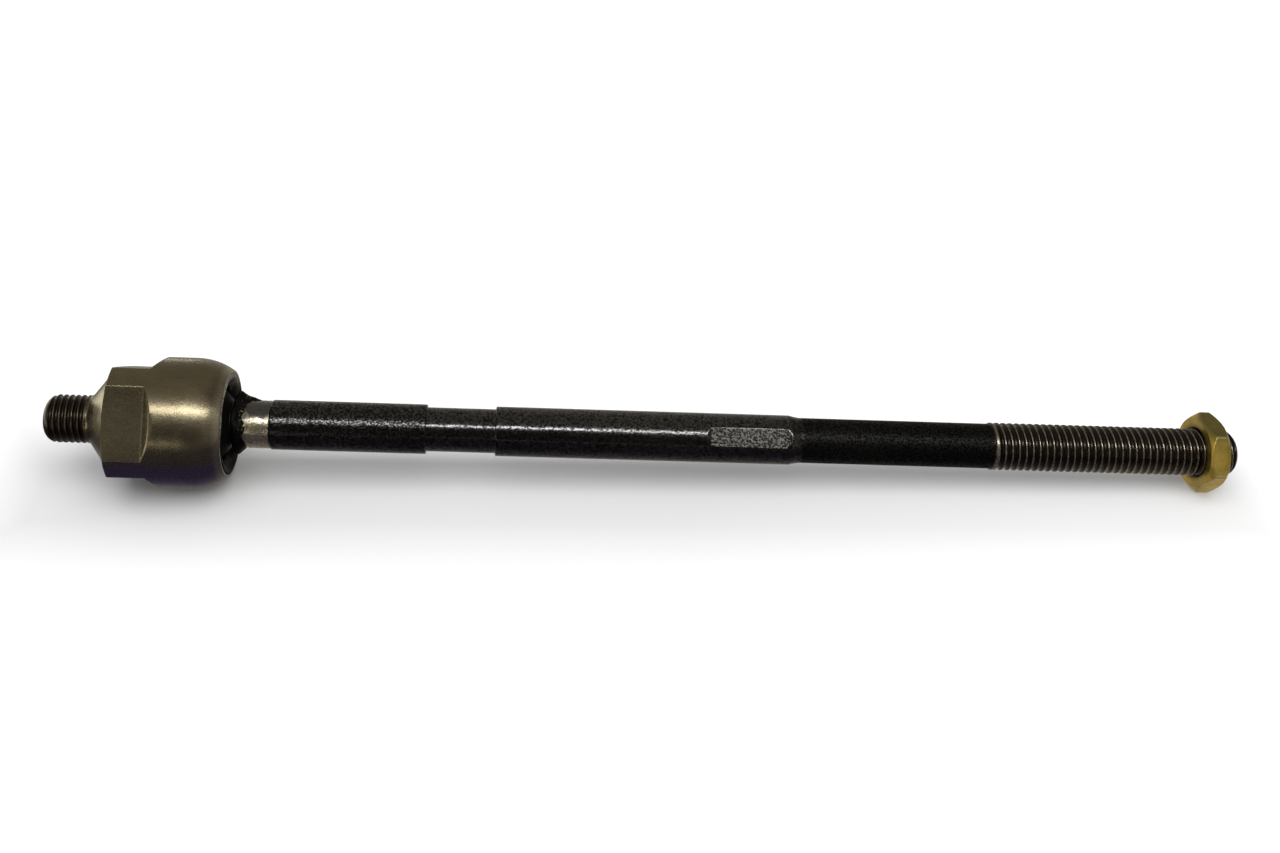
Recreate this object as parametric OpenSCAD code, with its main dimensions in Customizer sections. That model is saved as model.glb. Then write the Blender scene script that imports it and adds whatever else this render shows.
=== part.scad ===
// Inner tie rod of a rack-and-pinion steering gear.
// A forged ball housing screws into the end of the rack by its stub thread.
// The ball of the rod turns in it between two plastic half seats, which a
// disc spring preloads.  The far end of the rod is threaded for the outer
// tie rod end and carries its jam nut.
// Every piece is turned about the X axis, which runs from the stub thread
// towards the jam nut.  X is 0 where the stub meets the shoulder of the
// housing, and Z is up with the rod lying on its side.

/* [Rack end thread] */
// Major diameter of the stub thread
stub_d = 12; // [10:0.5:13]
// Length of the stub, from the shoulder to its end face
stub_length = 11.4; // [9:0.2:20]
// Radius that rounds the end of the stub
stub_nose_r = 3.2; // [1:0.1:4]

/* [Ball housing] */
// Diameter of the round body
body_d = 32.2; // [31:0.2:36]
// Diameter where the shallow shoulder cone turns into the steep one
shoulder_d = 26.4; // [24:0.2:28]
// Length of the shallow shoulder cone
shoulder_length = 5.6; // [4:0.1:6.5]
// Length of the steep shoulder cone
steep_length = 0.7; // [0.4:0.1:2]
// Distance from the shoulder to the centre of the ball
ball_x = 24.8; // [24.2:0.1:30]
// Distance across the spanner flats
flats_across = 26.6; // [26:0.2:29]
// Distance from the shoulder to the end of the full-depth flats
flats_end = 15.4; // [8:0.2:16]
// Length of the sloped run-out at the end of each flat
flats_runout = 2.4; // [1:0.2:6]
// Number of spanner flats
flats_count = 4; // [2:2:6]
// Turn of the first flat up from the level, on the side towards -Y
flats_turn = 34; // [0:1:89]
// Radius of the opening that stops the neck at full swing
throat_r = 9.5; // [9.4:0.1:9.8]
// Distance from the ball centre to that opening
throat_reach = 7; // [6.9:0.1:7.4]
// Distance from the ball centre to the lip of the rolled rim
lip_reach = 9.1; // [8.6:0.1:9.6]

/* [Ball and seats] */
// Diameter of the ball
ball_d = 22; // [21:0.1:22]
// Diameter of the flat turned on the back of the ball
ball_flat_d = 7; // [3:0.5:9]
// Wall of the plastic seats over the ball
seat_wall = 1.5; // [1.2:0.1:1.6]
// Distance that the rear seat reaches behind the ball centre
seat_back = 11.6; // [11.2:0.1:11.8]
// Diameter of the back face of the rear seat
seat_back_d = 19.2; // [18.8:0.2:20]
// Distance that the front seat reaches ahead of the ball centre
seat_front = 5.9; // [5.4:0.1:6]
// Gap between the two half seats
seat_gap = 0.2; // [0.1:0.1:0.6]
// Diameter of the grease hole in the back of the rear seat
seat_hole_d = 6; // [4:0.5:8]
// Number of grease grooves inside each seat
grease_groove_count = 6; // [3:1:8]
// Width of a grease groove
grease_groove_w = 2; // [1:0.2:3]
// Depth of a grease groove
grease_groove_depth = 0.6; // [0.3:0.1:0.8]

/* [Disc spring] */
// Outer diameter of the disc spring
disc_d = 18; // [15:0.5:18.5]
// Diameter of its hole
disc_hole_d = 8.6; // [7:0.2:10]
// Thickness of its sheet
disc_t = 0.8; // [0.5:0.1:1]
// Height of its cone, not counting the sheet
disc_rise = 0.4; // [0.2:0.1:0.6]

/* [Rod] */
// Diameter of the neck where it leaves the ball
neck_root_d = 10.6; // [9:0.2:11]
// Diameter of the straight neck
neck_d = 11.9; // [10.8:0.1:12]
// Distance from the ball centre to the start of the straight neck
neck_reach = 14.2; // [13:0.1:17]
// Distance from the shoulder to the step up to the shank
neck_end = 44.2; // [42:0.1:60]
// Diameter of the shank
shank_d = 12.4; // [12:0.1:14]
// Diameter of the groove that takes the small end of the bellows
bellows_groove_d = 11; // [10:0.1:12]
// Distance from the shoulder to the start of that groove
bellows_groove_start = 82.8; // [70:0.2:90]
// Length of that groove
bellows_groove_length = 17.3; // [12:0.1:22]
// Distance from the shoulder to the end of the full shank
shank_end = 174.2; // [160:0.2:190]
// Length of the taper down to the thread blank
taper_length = 2.6; // [1:0.1:6]
// Diameter of the plain blank before the thread
blank_d = 11.3; // [10.5:0.1:12]
// Height of the small chamfers at the steps of the rod
step_chamfer = 0.3; // [0.1:0.05:0.5]
// Distance across the two spanner flats on the shank
shank_flats_across = 11.4; // [10:0.1:12]
// Distance from the shoulder to the middle of these flats
shank_flats_x = 163.6; // [150:0.2:165]
// Length of these flats
shank_flats_length = 19.4; // [12:0.2:20]
// Turn of these flats up from the level, on the side towards -Y
shank_flats_turn = 40; // [0:1:89]

/* [Outer end thread] */
// Major diameter of the thread for the outer tie rod end
thread_d = 12; // [11.5:0.1:12.4]
// Distance from the shoulder to the start of this thread
thread_start = 225.6; // [200:0.2:250]
// Distance from the shoulder to the end of the rod
rod_end = 287.8; // [280:0.2:340]
// Pitch of this thread, drawn as closed ribs that stand in for the helix
thread_pitch = 1.75; // [1:0.25:2]
// Depth of the thread below its crests
thread_depth = 0.8; // [0.4:0.1:1]
// Chamfer at the end of the thread
thread_chamfer = 1.2; // [0.5:0.1:2]

/* [Jam nut] */
// Distance across the flats of the nut
nut_across = 18; // [17:0.5:22]
// Thickness of the nut
nut_t = 5; // [4:0.1:10]
// Length of thread left standing out in front of the nut
nut_setback = 3.9; // [2:0.1:40]
// Angle of the chamfers on the corners of the nut
nut_chamfer_angle = 40; // [15:1:45]
// Depth of the countersink in each face of the nut
nut_countersink = 0.5; // [0.2:0.1:0.8]

/* [Fits] */
// Running clearance between the ball and its seats, and the seats and housing
seat_clearance = 0.05; // [0.02:0.01:0.08]
// Running clearance between the nut and the thread
nut_clearance = 0.05; // [0.02:0.01:0.08]

/* [Hidden] */
$fn = 48;

// Radii and places that follow from the sizes above
stub_r = stub_d / 2;
// The rounding stops short of a quarter turn, which leaves an end face
nose_share = 0.93;
nose_length = nose_share * stub_nose_r;
nose_start = nose_length - stub_length;
body_r = body_d / 2;
shoulder_end = shoulder_length + steep_length;
ball_r = ball_d / 2;
seat_inner_r = ball_r + seat_clearance;
seat_outer_r = seat_inner_r + seat_wall;
cavity_r = seat_outer_r + seat_clearance;
lip_r = sqrt(body_r * body_r - lip_reach * lip_reach);
// Width of the flat edge left on the lip
lip_flat = 0.3;
lip_inner_r = lip_r - lip_flat;
// The seat is straight for a short way behind the ball centre, then tapers
seat_straight = seat_back / 2;
seat_back_r = seat_back_d / 2;
seat_back_x = ball_x - seat_back - seat_clearance;
// Room round the disc spring, which grows wider as it is pressed flat
spring_room = 0.3;
pocket_r = disc_d / 2 + spring_room;
disc_height = disc_t + disc_rise;
pocket_floor = seat_back_x - disc_height;
ball_flat_x = -sqrt(ball_r * ball_r - ball_flat_d * ball_flat_d / 4);
neck_root_x = sqrt(ball_r * ball_r - neck_root_d * neck_root_d / 4);
bellows_groove_end = bellows_groove_start + bellows_groove_length;
taper_end = shank_end + taper_length;
// Run of the sloped ends of the shank flats for each mm of their depth
flat_end_run = 3;
thread_r = thread_d / 2;
thread_root_r = thread_r - thread_depth;
thread_first_x = thread_start + (thread_d - blank_d) / 2;
thread_last_x = rod_end - thread_chamfer;
thread_turns = floor((thread_last_x - thread_first_x) / thread_pitch);
nut_front = rod_end - nut_setback;
nut_back = nut_front - nut_t;
nut_corner_r = nut_across / sqrt(3);
// The chamfers leave a round face a little narrower than the flats
nut_face_r = nut_across / 2 - 0.15;
nut_drop = (nut_corner_r - nut_face_r) * tan(nut_chamfer_angle);
// Larger than any piece is wide, for cutting tools
beyond = 2 * body_d;
// Overshoot of a cutting tool past the face it starts from
over = 1;

steel = "#6b6656";
black_paint = "#17181a";
yellow_zinc = "#a08a3c";
natural_plastic = "#d8d4c4";
spring_steel = "#7a7c80";

// Turns a shape drawn about Z so that it lies along +X
module along_x() {
    rotate([0, 90, 0]) children();
}

// Revolves a profile of [radius, x] points about the X axis
module turned(profile) {
    along_x() rotate_extrude() polygon(profile);
}

// The half disc of a sphere of radius r centred at x, kept between two x
module half_disc(r, x, from_x, to_x) {
    intersection() {
        translate([0, x]) circle(r = r);
        translate([0, from_x]) square([r, to_x - from_x]);
    }
}

// Outline of the forging: stub, shoulder cones, round body, rolled rim
module housing_outline() {
    translate([0, nose_start]) square([stub_r, -nose_start]);
    intersection() {
        translate([0, -stub_length]) square([stub_r, nose_start + stub_length]);
        union() {
            translate([stub_r - stub_nose_r, nose_start]) circle(r = stub_nose_r);
            translate([0, -stub_length]) square([stub_r - stub_nose_r, stub_length]);
        }
    }
    polygon([
        [0, 0],
        [stub_r, 0],
        [shoulder_d / 2, shoulder_length],
        [body_r, shoulder_end],
        [body_r, ball_x],
        [0, ball_x]
    ]);
    half_disc(body_r, ball_x, ball_x, ball_x + lip_reach);
}

// Outline of the hollow: spring pocket, seat bore, throat, open mouth
module hollow_outline() {
    polygon([
        [0, pocket_floor],
        [pocket_r, pocket_floor],
        [pocket_r, seat_back_x],
        [seat_back_r + seat_clearance, seat_back_x],
        [cavity_r, ball_x - seat_straight],
        [cavity_r, ball_x],
        [0, ball_x]
    ]);
    half_disc(cavity_r, ball_x, ball_x, ball_x + seat_front + seat_clearance);
    polygon([
        [0, ball_x],
        [throat_r, ball_x],
        [throat_r, ball_x + throat_reach],
        [lip_inner_r, ball_x + lip_reach],
        [lip_inner_r, ball_x + lip_reach + over],
        [0, ball_x + lip_reach + over]
    ]);
}

// One spanner flat: a full-depth cut that slopes out to the round body
module flat_cut() {
    flat_r = flats_across / 2;
    depth = body_r - flat_r;
    translate([0, -flat_r, 0])
    linear_extrude(beyond, center = true)
    polygon([
        [-over, 0],
        [flats_end, 0],
        [flats_end + flats_runout, -depth],
        [flats_end + flats_runout, -beyond],
        [-over, -beyond]
    ]);
}

module ball_housing() {
    color(steel)
    difference() {
        along_x() rotate_extrude() difference() {
            housing_outline();
            hollow_outline();
        }
        for (i = [0 : flats_count - 1])
            rotate([-flats_turn + i * 360 / flats_count, 0, 0]) flat_cut();
    }
}

// Grease grooves: square bars laid around the inside of a seat
module grease_grooves(from_x, to_x) {
    for (i = [0 : grease_groove_count - 1])
        rotate([(i + 0.5) * 360 / grease_groove_count, 0, 0])
        translate([from_x, -grease_groove_w / 2, 0])
        cube([to_x - from_x, grease_groove_w, seat_inner_r + grease_groove_depth]);
}

module rear_ball_seat() {
    color(natural_plastic)
    difference() {
        along_x() rotate_extrude() difference() {
            polygon([
                [seat_hole_d / 2, ball_x - seat_back],
                [seat_back_r, ball_x - seat_back],
                [seat_outer_r, ball_x - seat_straight],
                [seat_outer_r, ball_x - seat_gap / 2],
                [seat_hole_d / 2, ball_x - seat_gap / 2]
            ]);
            translate([0, ball_x]) circle(r = seat_inner_r);
        }
        grease_grooves(ball_x - seat_straight, ball_x);
    }
}

module front_ball_seat() {
    color(natural_plastic)
    difference() {
        along_x() rotate_extrude() difference() {
            half_disc(seat_outer_r, ball_x, ball_x + seat_gap / 2, ball_x + seat_front);
            translate([0, ball_x]) circle(r = seat_inner_r);
        }
        grease_grooves(ball_x, ball_x + seat_front / 2);
    }
}

module disc_spring() {
    color(spring_steel)
    turned([
        [disc_hole_d / 2, pocket_floor + disc_rise],
        [disc_d / 2, pocket_floor],
        [disc_d / 2, pocket_floor + disc_t],
        [disc_hole_d / 2, pocket_floor + disc_rise + disc_t]
    ]);
}

// Crest and root of each turn of the outer thread, as [radius, x]
function thread_points() = [
    for (i = [0 : thread_turns - 1])
        each [
            [thread_r, thread_first_x + i * thread_pitch],
            [thread_root_r, thread_first_x + (i + 0.5) * thread_pitch]
        ]
];

// The rod's outline from the root of the neck to the end of the thread
module shank_outline() {
    c = step_chamfer;
    polygon(concat([
        [0, ball_x],
        [neck_root_d / 2, ball_x + neck_root_x],
        [neck_d / 2, ball_x + neck_reach],
        [neck_d / 2, neck_end],
        [shank_d / 2, neck_end + (shank_d - neck_d) / 2],
        [shank_d / 2, bellows_groove_start - c],
        [shank_d / 2 - c, bellows_groove_start],
        [bellows_groove_d / 2, bellows_groove_start],
        [bellows_groove_d / 2, bellows_groove_end],
        [shank_d / 2 - c, bellows_groove_end],
        [shank_d / 2, bellows_groove_end + c],
        [shank_d / 2, shank_end],
        [blank_d / 2, taper_end],
        [blank_d / 2, thread_start]
    ], thread_points(), [
        [thread_r, thread_first_x + thread_turns * thread_pitch],
        [thread_r, thread_last_x],
        [thread_r - thread_chamfer, rod_end],
        [0, rod_end]
    ]));
}

// One spanner flat on the shank, with sloped ends
module shank_flat_cut() {
    flat_r = shank_flats_across / 2;
    depth = shank_d / 2 - flat_r;
    half = shank_flats_length / 2;
    run = flat_end_run * (depth + over);
    translate([shank_flats_x, -flat_r, 0])
    linear_extrude(beyond, center = true)
    polygon([
        [-half, 0],
        [half, 0],
        [half + run, -depth - over],
        [-half - run, -depth - over]
    ]);
}

module tie_rod() {
    color(black_paint)
    difference() {
        along_x() rotate_extrude() union() {
            half_disc(ball_r, ball_x, ball_x + ball_flat_x, ball_x + ball_r);
            shank_outline();
        }
        for (side = [0, 180])
            rotate([side - shank_flats_turn, 0, 0]) shank_flat_cut();
    }
}

// Corner chamfers: the nut keeps what lies inside this turned outline
module nut_envelope() {
    turned([
        [0, nut_back],
        [nut_face_r, nut_back],
        [nut_corner_r, nut_back + nut_drop],
        [nut_corner_r, nut_front - nut_drop],
        [nut_face_r, nut_front],
        [0, nut_front]
    ]);
}

module jam_nut() {
    bore_r = thread_r + nut_clearance;
    sink = nut_countersink;
    color(yellow_zinc)
    difference() {
        intersection() {
            translate([nut_back, 0, 0]) along_x() rotate([0, 0, 30])
                cylinder(h = nut_t, r = nut_corner_r, $fn = 6);
            nut_envelope();
        }
        turned([
            [0, nut_back - over],
            [bore_r + sink + over, nut_back - over],
            [bore_r, nut_back + sink],
            [bore_r, nut_front - sink],
            [bore_r + sink + over, nut_front + over],
            [0, nut_front + over]
        ]);
    }
}

ball_housing();
rear_ball_seat();
front_ball_seat();
disc_spring();
tie_rod();
jam_nut();
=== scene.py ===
# %% [markdown]
# An inner tie rod, dressed for its portrait.
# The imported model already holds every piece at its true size. This script
# gives the pieces that show their real surfaces: cut threads, rounded edges,
# grease and paint, and the finish of each metal. All new meshes are surfaces
# worked out with numpy as whole arrays, in millimetres, and scaled to metres
# at the very end.

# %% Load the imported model
import math

import bpy
import numpy as np
from mathutils import Matrix


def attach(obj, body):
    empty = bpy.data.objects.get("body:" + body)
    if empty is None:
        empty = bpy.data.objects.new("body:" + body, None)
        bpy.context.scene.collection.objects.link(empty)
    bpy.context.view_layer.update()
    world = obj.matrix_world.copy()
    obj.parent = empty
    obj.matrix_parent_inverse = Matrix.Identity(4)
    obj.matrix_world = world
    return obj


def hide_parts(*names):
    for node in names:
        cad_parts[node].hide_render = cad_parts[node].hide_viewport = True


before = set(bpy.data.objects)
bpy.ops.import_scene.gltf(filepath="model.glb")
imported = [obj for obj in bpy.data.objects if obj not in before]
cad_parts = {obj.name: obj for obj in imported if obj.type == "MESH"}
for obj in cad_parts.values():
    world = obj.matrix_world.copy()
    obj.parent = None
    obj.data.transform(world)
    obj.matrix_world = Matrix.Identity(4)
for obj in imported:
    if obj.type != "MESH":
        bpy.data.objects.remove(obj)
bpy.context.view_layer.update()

MM = 0.001
print("nodes:", sorted(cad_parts))

# %% [markdown]
# Almost every piece of a tie rod was turned on a lathe, so each one is a
# profile carried round the X axis. A profile is a list of corners, and a real
# corner is never sharp: it has a small radius that catches the light. The
# helper below takes corners with a radius each and returns closely spaced
# points along the rounded outline.

# %% Rounded profiles
def rounded_profile(corners, step):
    """Points (x, r) along a polyline whose corners are rounded, in mm.

    A corner is (x, r, radius). The arc starts and ends at a distance of
    radius * tan(turn / 2) from the corner, but no more than 0.45 of the
    shorter side, and is drawn as a quadratic Bezier curve through the corner.
    Straight stretches are cut into pieces of at most one step. A corner may
    carry its own step for the stretch that leaves it, as a fourth value.
    """
    pts = np.array([c[:2] for c in corners], float)
    steps = [c[3] if len(c) > 3 else step for c in corners]
    out = [pts[0]]
    for i in range(1, len(pts)):
        a, b = out[-1], pts[i]
        end = b
        arc = None
        if i < len(pts) - 1 and corners[i][2] > 0:
            back, ahead = pts[i - 1] - b, pts[i + 1] - b
            lb, la = np.hypot(*back), np.hypot(*ahead)
            turn = math.pi - math.acos(np.clip(back @ ahead / (lb * la), -1, 1))
            d = min(corners[i][2] * math.tan(turn / 2), 0.45 * lb, 0.45 * la)
            start, stop = b + back / lb * d, b + ahead / la * d
            t = np.linspace(0, 1, 6)[:, None]
            arc = (1 - t) ** 2 * start + 2 * t * (1 - t) * b + t**2 * stop
            end = start
        count = max(1, math.ceil(np.hypot(*(end - a)) / steps[i - 1]))
        line = a + (end - a) * np.linspace(0, 1, count + 1)[1:, None]
        out.extend(line)
        if arc is not None:
            out.extend(arc[1:])
    return np.array(out)


def arc_corners(x, r, radius, start_deg, stop_deg, count):
    """Corners along a circular arc round (x, r): x + radius cos a, r + radius sin a."""
    angles = np.radians(np.linspace(start_deg, stop_deg, count))
    return [(x + radius * math.cos(a), r + radius * math.sin(a), 0) for a in angles]


def smooth_min(a, b, width):
    """The smaller of a and b, with the meeting edge rounded over the given width."""
    h = np.maximum(width - np.abs(a - b), 0) / width
    return np.minimum(a, b) - h * h * width / 4


print("profile test:", len(rounded_profile([(0, 0, 0), (0, 5, 1), (9, 5, 0)], 1)), "points")

# %% [markdown]
# A turned piece becomes a mesh by giving each profile point a ring of
# vertices. The radius of a ring may depend on the angle, and that is how a
# spanner flat, a hexagon or a helical thread is cut into the same grid. The
# first and last point of a profile lie on the axis, where the ring closes
# into a single pole, so the surface is watertight.

# %% From rings to a mesh
def ring_positions(x, radius, angles):
    """(rows, columns, 3) points: x, -radius cos angle, radius sin angle.

    Angle 0 points at -Y, towards the viewer, and 90 degrees points up.
    """
    return np.stack(
        [
            np.broadcast_to(x, radius.shape),
            -radius * np.cos(angles),
            radius * np.sin(angles),
        ],
        axis=-1,
    )


def grid_mesh(name, grid, closed_loop=False):
    """A smooth mesh from a grid of points in mm, rows by columns, columns closed.

    With closed_loop the last row joins the first, as on a nut. Otherwise the
    first and last rows are replaced by one pole each. Returns the object and
    the row number of each face, for giving materials.
    """
    rows, cols, _ = grid.shape
    ids = np.arange(rows * cols).reshape(rows, cols)
    points = grid.reshape(-1, 3)
    if closed_loop:
        top = np.roll(ids, -1, axis=0)
        bottom = ids
        face_rows = np.repeat(np.arange(rows), cols)
    else:
        bottom, top = ids[1:-2], ids[2:-1]
        face_rows = np.repeat(np.arange(1, rows - 2), cols)
    a, b = bottom, np.roll(bottom, -1, axis=1)
    c, d = np.roll(top, -1, axis=1), top
    quads = np.stack([a, b, c, d], axis=-1).reshape(-1, 4)
    triangles = np.empty((0, 3), int)
    if not closed_loop:
        first, second = ids[0, 0], ids[-1, 0]
        near, far = ids[1], ids[-2]
        one = np.stack([np.full(cols, first), np.roll(near, -1), near], axis=-1)
        two = np.stack([np.full(cols, second), far, np.roll(far, -1)], axis=-1)
        triangles = np.concatenate([one, two])
        face_rows = np.concatenate([face_rows, np.zeros(cols, int), np.full(cols, rows - 2)])
    used = np.zeros(len(points), bool)
    used[quads.ravel()] = True
    used[triangles.ravel()] = True
    number = np.cumsum(used) - 1
    points = points[used] * MM
    loops = np.concatenate([number[quads].ravel(), number[triangles].ravel()])
    sizes = np.concatenate([np.full(len(quads), 4), np.full(len(triangles), 3)])
    mesh = bpy.data.meshes.new(name)
    mesh.vertices.add(len(points))
    mesh.vertices.foreach_set("co", points.ravel())
    mesh.loops.add(len(loops))
    mesh.loops.foreach_set("vertex_index", loops)
    mesh.polygons.add(len(sizes))
    mesh.polygons.foreach_set("loop_start", np.concatenate([[0], np.cumsum(sizes)[:-1]]))
    mesh.polygons.foreach_set("loop_total", sizes)
    mesh.polygons.foreach_set("use_smooth", np.ones(len(sizes), bool))
    mesh.update(calc_edges=True)
    mesh.validate()
    obj = bpy.data.objects.new(name, mesh)
    bpy.context.scene.collection.objects.link(obj)
    print(name, len(points), "points", len(sizes), "faces")
    return obj, face_rows


def full_turn(count):
    """Evenly spaced angles round the axis, without the last, which is the first."""
    return np.linspace(0, 2 * math.pi, count, endpoint=False)


# %% [markdown]
# A rolled thread is a ridge that winds round the rod once per pitch. Its
# flanks stand at 60 degrees to each other, its root is rounded, and the
# rolling leaves a fine crease along the middle of each crest, which shows in
# the photograph as a double line. A right-hand thread that moves along +X
# turns from -Y towards -Z, which is against the angle used here.

# %% Thread depth
def thread_depth(x, angles, pitch, depth=0.62):
    """How far the surface lies below the crest at each point, in mm.

    The distance to the nearest crest is taken along X after the helix is
    unwound: phase = x / pitch + angle / full turn. Beyond a flat crest, an
    eighth of the pitch wide, the depth grows by 1.73 mm per mm, and it levels
    off in the rounded root.
    """
    phase = (x / pitch + angles / (2 * math.pi)) % 1
    away = np.abs(phase - 0.5) * pitch
    flank = np.maximum(away - pitch / 16, 0) * math.sqrt(3)
    sunk = smooth_min(flank, np.full_like(flank, depth), 0.45)
    crease = 0.03 * np.exp(-((away / (0.04 * pitch)) ** 2))
    return np.maximum(sunk, 0) + crease


def fade(x, start, stop):
    """0 before start, 1 after stop, with a smooth step between them."""
    t = np.clip((x - start) / (stop - start), 0, 1)
    return t * t * (3 - 2 * t)


# %% [markdown]
# The ball housing is one forging. From the left: the threaded stub with its
# rounded end, a shallow and a steep shoulder cone, the round body, and the
# rim that was rolled over the seats and ends in a thin lip. Inside the lip a
# steep funnel leads to the throat. Four spanner flats are milled into the
# body and run out in a slope. A flat at distance h from the axis has the
# radius h / cos(angle from its middle), so the smaller of that and the round
# body's radius is the milled shape.

# %% Ball housing
STUB_R, STUB_LENGTH, STUB_PITCH = 6.0, 11.4, 1.5
NOSE_R, NOSE_LENGTH = 3.2, 0.93 * 3.2
BODY_R, BALL_X = 16.1, 24.8
LIP_REACH, THROAT_REACH, THROAT_R = 9.1, 7.0, 9.5
SEAT_FRONT, CAVITY_R = 5.95, 12.6
FLAT_R, FLATS_END, FLATS_RUNOUT, FLATS_TURN = 13.3, 15.4, 2.4, 34.0
lip_r = math.sqrt(BODY_R**2 - LIP_REACH**2)
nose_x = NOSE_LENGTH - STUB_LENGTH

housing_corners = [(-STUB_LENGTH, 0, 0, 0.5), (-STUB_LENGTH, 3.9, 0.2, 0.1)]
for t in np.linspace(math.asin(0.93), 0, 9):
    housing_corners.append(
        (nose_x - NOSE_R * math.sin(t), STUB_R - NOSE_R + NOSE_R * math.cos(t), 0, 0.11)
    )
housing_corners += [
    (-0.1, STUB_R, 0.5, 0.2),
    (5.6, 13.2, 0.3, 0.15),
    (6.3, BODY_R, 0.3, 0.4),
    (FLATS_END, BODY_R, 0, 0.25),
    (FLATS_END + FLATS_RUNOUT, BODY_R, 0, 1.0),
    (BALL_X, BODY_R, 0, 0.5),
]
lip_angle = math.degrees(math.asin(lip_r / BODY_R))
housing_corners += arc_corners(BALL_X, 0, BODY_R, 89, lip_angle + 1, 22)
housing_corners += [
    (BALL_X + LIP_REACH, lip_r, 0.22, 0.1),
    (BALL_X + LIP_REACH, lip_r - 0.5, 0.3, 0.3),
    (BALL_X + THROAT_REACH, THROAT_R, 0.4, 0.3),
    (BALL_X + SEAT_FRONT, THROAT_R, 0, 1.0),
]
cavity_angle = math.degrees(math.acos(SEAT_FRONT / CAVITY_R))
housing_corners += arc_corners(BALL_X, 0, CAVITY_R, cavity_angle, 90, 8)
housing_corners += [
    (19.0, CAVITY_R, 0, 1.5),
    (13.15, 9.65, 0, 1.5),
    (11.95, 9.3, 0, 3.0),
    (11.95, 0, 0),
]
housing_profile = rounded_profile(housing_corners, 0.5)
angles = full_turn(264)
flat_edge = math.acos(FLAT_R / BODY_R)
for turn in range(4):
    middle = math.radians(FLATS_TURN + 90 * turn)
    extra = np.concatenate([middle + s * flat_edge + np.radians([-0.3, 0, 0.3]) for s in (-1, 1)])
    angles = np.concatenate([angles, extra % (2 * math.pi)])
angles = np.sort(angles)
hx, hr = housing_profile[:, :1], housing_profile[:, 1:]
radius = np.repeat(hr, len(angles), axis=1)
outside = np.arange(len(hx))[:, None] < np.argmax(hx[:, 0] > BALL_X + LIP_REACH - 1e-6)

ramp = np.clip((hx - FLATS_END) / FLATS_RUNOUT, 0, None)
flat_r = FLAT_R + ramp * (BODY_R - FLAT_R)
for turn in range(4):
    off = angles - math.radians(FLATS_TURN + 90 * turn)
    facing = np.cos(off)
    cut = np.where(facing > 0.3, flat_r / np.maximum(facing, 0.3), 99.0)
    cut = np.where(outside & (hx > 0), cut, 99.0)
    radius = smooth_min(radius, cut, 0.08)

on_stub = fade(hx, -STUB_LENGTH - 2, -STUB_LENGTH - 1) * (1 - fade(hx, -1.3, -0.5))
stub_cut = thread_depth(hx, angles[None, :], STUB_PITCH) * on_stub
radius = np.where(
    hx < -0.2, smooth_min(radius, STUB_R - stub_cut, 0.08), radius
)
radius[[0, -1]] = 0
housing, housing_rows = grid_mesh(
    "forged_ball_housing", ring_positions(hx, radius, angles[None, :])
)
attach(housing, "housing")
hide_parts("ball_housing")

# %% [markdown]
# The rod is one piece too: the ball inside the seats, the neck, the shank
# with the groove for the bellows and two spanner flats, the plain blank that
# was left thinner so that the thread could be rolled on it, and the thread.
# Rolling pushes metal outwards, so the thread stands above the blank.

# %% Rod
BALL_R, BALL_FLAT_R = 11.0, 3.5
NECK_ROOT_R, NECK_R, NECK_REACH, NECK_END = 5.3, 5.95, 14.2, 44.2
SHANK_R, GROOVE_R, GROOVE_START, GROOVE_END = 6.2, 5.5, 82.8, 100.1
SHANK_END, TAPER_END, BLANK_R = 174.2, 176.8, 5.65
THREAD_R, THREAD_START, THREAD_PITCH = 6.0, 225.6, 1.75
ROD_END = 287.8
SHANK_FLAT_R, SHANK_FLATS_X, SHANK_FLATS_HALF, SHANK_FLATS_TURN = 5.7, 163.6, 9.7, 40.0

ball_back = -math.sqrt(BALL_R**2 - BALL_FLAT_R**2)
neck_root = math.sqrt(BALL_R**2 - NECK_ROOT_R**2)
back_deg = 180 - math.degrees(math.asin(BALL_FLAT_R / BALL_R))
root_deg = math.degrees(math.asin(NECK_ROOT_R / BALL_R))
rod_corners = [(BALL_X + ball_back, 0, 0, 2.0)]
rod_corners += arc_corners(BALL_X, 0, BALL_R, back_deg, root_deg + 1.5, 30)
rod_corners += [
    (BALL_X + neck_root, NECK_ROOT_R, 0.25, 0.8),
    (BALL_X + NECK_REACH, NECK_R, 3.0, 0.8),
    (NECK_END, NECK_R, 0.3, 0.3),
    (NECK_END + 0.25, SHANK_R, 0.3, 4.0),
    (GROOVE_START, SHANK_R, 0.3, 0.3),
    (GROOVE_START, GROOVE_R, 0.15, 2.0),
    (GROOVE_END, GROOVE_R, 0.15, 0.3),
    (GROOVE_END, SHANK_R, 0.3, 4.0),
    (SHANK_FLATS_X - SHANK_FLATS_HALF - 1.5, SHANK_R, 0, 0.3),
    (SHANK_END, SHANK_R, 0.6, 0.3),
    (TAPER_END, BLANK_R, 1.2, 4.0),
    (THREAD_START, BLANK_R, 0.3, 0.2),
    (THREAD_START + 0.4, THREAD_R, 0.2, 0.122),
    (ROD_END - 1.2, THREAD_R, 0.2, 0.122),
    (ROD_END, THREAD_R - 1.2, 0.2, 0.5),
    (ROD_END, 0, 0),
]
rod_profile = rounded_profile(rod_corners, 1.0)
rod_angles = full_turn(112)
edge = math.acos(SHANK_FLAT_R / SHANK_R)
for side in (0, math.pi):
    middle = math.radians(SHANK_FLATS_TURN) + side
    extra = np.concatenate([middle + s * edge + np.radians([-1, 0, 1]) for s in (-1, 1)])
    rod_angles = np.concatenate([rod_angles, extra % (2 * math.pi)])
rod_angles = np.sort(rod_angles)
rx, rr = rod_profile[:, :1], rod_profile[:, 1:]
radius = np.repeat(rr, len(rod_angles), axis=1)

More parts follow.
